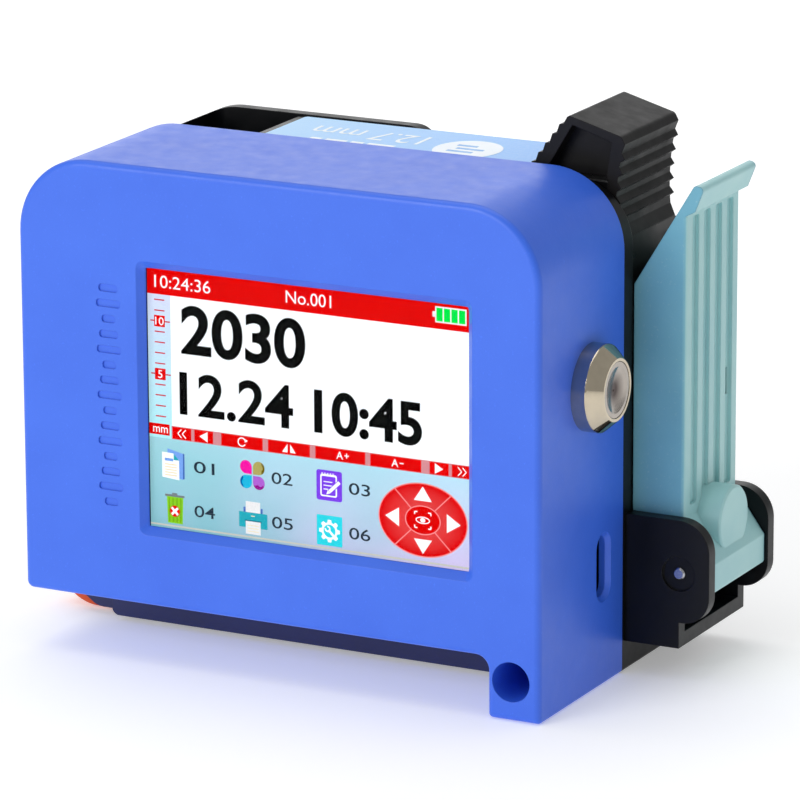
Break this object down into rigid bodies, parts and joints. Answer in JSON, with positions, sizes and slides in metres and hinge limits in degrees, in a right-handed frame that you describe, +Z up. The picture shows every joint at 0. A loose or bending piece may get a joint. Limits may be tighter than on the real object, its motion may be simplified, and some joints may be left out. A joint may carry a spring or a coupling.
{
  "type": "date code inkjet printer",
  "caption": "Handheld date code inkjet printer: a blue display shell, a black cartridge stall with a hinged latch, a print button and guide rollers.",
  "frame": {"origin": "middle of the overall footprint, on the surface that the printer stands on", "axes": "+X to the right seen from the display, +Y from the display to the cartridge stall, +Z up"},
  "size_m": [0.1422, 0.0698, 0.11],
  "materials": {
    "blue_shell": "satin moulded ABS, fine texture",
    "screen_glass": "clear polished touch glass",
    "black_rubber": "soft foam",
    "lcd_metal": "thin pressed steel frame",
    "brass_inserts": "turned brass",
    "circuit_board": "green solder mask",
    "steel_screws": "zinc plated",
    "chip_black": "moulded epoxy",
    "connector_ivory": "moulded nylon",
    "battery_wrap": "shrink sleeve",
    "tray_black": "moulded plastic",
    "socket_steel": "nickel plated",
    "chrome_ring": "polished",
    "chrome_button": "polished dish with turned ring",
    "spring_steel": "drawn wire",
    "black_housing": "satin black moulded plastic",
    "gold_contacts": "gold plated",
    "ribbon_flex": "flat flexible cable",
    "pin_steel": "ground pin",
    "teal_lever": "satin moulded plastic",
    "grey_rubber": "soft pad",
    "cartridge_black": "moulded, slight gloss",
    "foam_dark": "open cell ink foam",
    "label_blue": "printed paper label",
    "nozzle_gold": "electroformed plate",
    "flex_gold": "polyimide flex with gold pads",
    "handle_black": "satin moulded plastic",
    "blue_base": "satin moulded plastic",
    "bush_ivory": "acetal",
    "hub_blue": "moulded plastic",
    "orange_tyre": "moulded silicone rubber",
    "disc_black": "thin film disc",
    "sensor_black": "moulded sensor"
  },
  "bodies": {
    "printer": {"front_shell": "blue_shell", "touch_glass": "screen_glass", "display_gasket": "black_rubber", "lcd_module": "lcd_metal", "board_standoffs": "brass_inserts", "main_board": "circuit_board", "board_screws": "steel_screws", "board_chips": "chip_black", "board_connectors": "connector_ivory", "battery_cells": "battery_wrap", "battery_tray": "tray_black", "usb_socket": "socket_steel", "usb_board": "circuit_board", "button_bezel": "chrome_ring", "button_nut": "socket_steel", "switch_body": "tray_black", "rear_housing": "black_housing", "case_screws": "steel_screws", "contact_block": "tray_black", "contact_pins": "gold_contacts", "ribbon_cable": "ribbon_flex", "latch_bracket": "black_housing", "bracket_screws": "steel_screws", "hinge_pin": "pin_steel", "print_base": "blue_base", "base_screws": "steel_screws", "axle_bushes": "bush_ivory", "encoder_sensor": "sensor_black", "button_spring": "spring_steel"},
    "button": {"button_cap": "chrome_button"},
    "latch": {"latch_lever": "teal_lever", "latch_pad": "grey_rubber"},
    "cartridge": {"cartridge_case": "cartridge_black", "ink_foam": "foam_dark", "cartridge_lid": "cartridge_black", "cartridge_label": "label_blue", "nozzle_plate": "nozzle_gold", "contact_flex": "flex_gold", "cartridge_handle": "handle_black"},
    "roller": {"roller_axle": "pin_steel", "roller_hubs": "hub_blue", "roller_tyres": "orange_tyre", "encoder_disc": "disc_black"}
  },
  "joints": [
    {"name": "latch_hinge", "type": "hinge", "parent": "printer", "child": "latch", "pos_m": [0.06445, 0.01895, 0.0215], "axis": [0, 1, 0], "range_deg": [0, 88]},
    {"name": "cartridge_lift", "type": "slide", "parent": "printer", "child": "cartridge", "axis": [0, 0, 1], "range_m": [0, 0.098]},
    {"name": "button_press", "type": "slide", "parent": "printer", "child": "button", "axis": [-1, 0, 0], "range_m": [0, 0.0015], "stiffness_N_per_m": 600, "springref_m": -0.001, "deforming": ["button_spring"]},
    {"name": "roller_spin", "type": "hinge", "parent": "printer", "child": "roller", "pos_m": [-0.06185, 0.01065, 0.0092], "axis": [0, 1, 0], "continuous": true}
  ]
}
